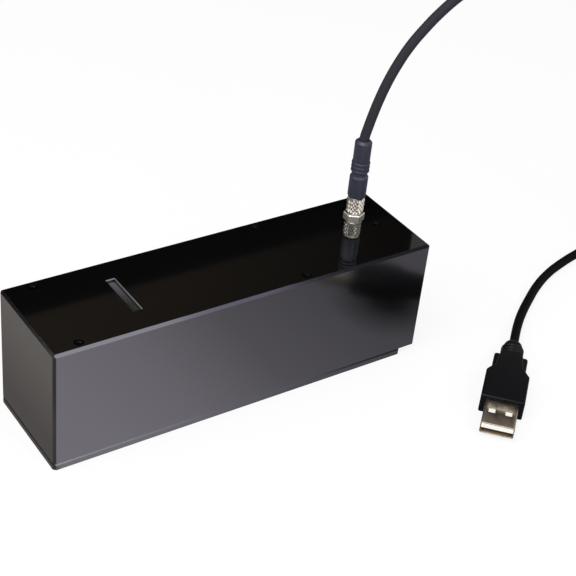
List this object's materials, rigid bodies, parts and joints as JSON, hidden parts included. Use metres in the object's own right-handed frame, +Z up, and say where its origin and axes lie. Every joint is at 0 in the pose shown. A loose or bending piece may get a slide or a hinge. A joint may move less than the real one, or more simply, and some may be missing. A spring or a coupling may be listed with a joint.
{
  "type": "surface roughness tester",
  "caption": "Compact surface roughness tester in a black anodised box, with a motor-driven skidded pickup under its base plate and a USB lead on a screw-on round plug.",
  "frame": {"origin": "middle of the box's footprint, on the table under the base plate", "axes": "+X along the box toward the end with the plug, +Y to the rear, +Z up"},
  "size_m": [0.3393, 0.1, 0.1438],
  "materials": {
    "anodised_black": "satin",
    "blackened_steel": "satin",
    "smoked_window": "gloss",
    "green_board": "satin",
    "lamp_white": "gloss",
    "flat_cable": "satin",
    "bare_aluminium": "satin",
    "ground_steel": "polished",
    "zinc_steel": "satin",
    "turned_brass": "satin",
    "black_plastic": "satin",
    "skid_ruby": "gloss",
    "nickel": "polished",
    "seal_rubber": "matte",
    "grip_plastic": "matte",
    "lead_jacket": "satin",
    "usb_plastic": "satin",
    "usb_tin": "polished",
    "usb_white": "satin",
    "gold_contact": "polished"
  },
  "bodies": {
    "root": {"housing": "anodised_black", "base_plate": "anodised_black", "top_screws": "blackened_steel", "base_screws": "blackened_steel", "light_window": "smoked_window", "lamp_board": "green_board", "lamps": "lamp_white", "lamp_screws": "zinc_steel", "lamp_flex": "flat_cable", "left_block": "bare_aluminium", "right_block": "bare_aluminium", "guide_rod_front": "ground_steel", "guide_rod_rear": "ground_steel", "end_sensor": "black_plastic", "screw_bushes": "turned_brass", "drive_motor": "zinc_steel", "motor_encoder": "black_plastic", "motor_plate": "bare_aluminium", "plate_spacers": "turned_brass", "plate_screws": "zinc_steel", "board_bracket": "bare_aluminium", "main_board": "green_board", "board_parts": "black_plastic", "board_standoffs": "turned_brass", "board_screws": "zinc_steel", "panel_socket": "nickel", "socket_insert": "black_plastic", "socket_seal": "seal_rubber", "panel_nut": "nickel", "plug_core": "nickel", "plug_grip": "grip_plastic", "cord_rise": "lead_jacket", "cord_coil": "lead_jacket", "cord_tie": "lead_jacket", "cord_tail": "lead_jacket", "usb_grip": "usb_plastic", "usb_shell": "usb_tin", "usb_tongue": "usb_white", "usb_contacts": "gold_contact"},
    "carriage": {"carriage": "bare_aluminium", "carriage_bushes": "turned_brass", "drive_nut": "turned_brass", "nut_screws": "zinc_steel", "sensor_flag": "black_plastic", "pickup_bracket": "bare_aluminium", "pivot_pin": "ground_steel", "pickup_spring": "ground_steel", "stop_screw": "blackened_steel"},
    "screw": {"lead_screw": "ground_steel", "screw_gear": "turned_brass"},
    "pinion": {"motor_pinion": "turned_brass", "motor_shaft": "ground_steel"},
    "pickup": {"pickup_holder": "black_plastic", "pickup_tube": "ground_steel", "skid": "skid_ruby", "stylus_pin": "ground_steel"},
    "stylus": {"stylus_arm": "ground_steel", "stylus_tip": "ground_steel"},
    "coupling": {"coupling_ring": "nickel"}
  },
  "joints": [
    {"name": "screw_turn", "type": "hinge", "parent": "root", "child": "screw", "pos_m": [0, 0, 0.0271], "axis": [1, 0, 0], "range_deg": [-2520, 0]},
    {"name": "traverse", "type": "slide", "parent": "root", "child": "carriage", "axis": [1, 0, 0], "range_m": [0, 0.0175]},
    {"name": "pinion_turn", "type": "hinge", "parent": "root", "child": "pinion", "pos_m": [0, 0, 0.0136], "axis": [1, 0, 0], "range_deg": [0, 5040]},
    {"name": "pickup_swing", "type": "hinge", "parent": "carriage", "child": "pickup", "pos_m": [-0.019, 0, 0.0128], "axis": [0, 1, 0], "range_deg": [-1.5, 2], "stiffness_Nm_per_rad": 0.04, "springref_deg": -1.49, "deforming": ["pickup_spring"]},
    {"name": "stylus_swing", "type": "hinge", "parent": "pickup", "child": "stylus", "pos_m": [-0.0316, 0, 0.0072], "axis": [0, 1, 0], "range_deg": [-1, 1], "stiffness_Nm_per_rad": 0.0005},
    {"name": "coupling_turn", "type": "hinge", "parent": "root", "child": "coupling", "pos_m": [0.06, 0.0084, 0.0517], "axis": [0, 0, 1], "continuous": true}
  ],
  "couplings": [
    {"joint": "screw_turn", "follows": "traverse", "rad_per_m": -2513.3},
    {"joint": "pinion_turn", "follows": "traverse", "rad_per_m": 5026.5}
  ]
}
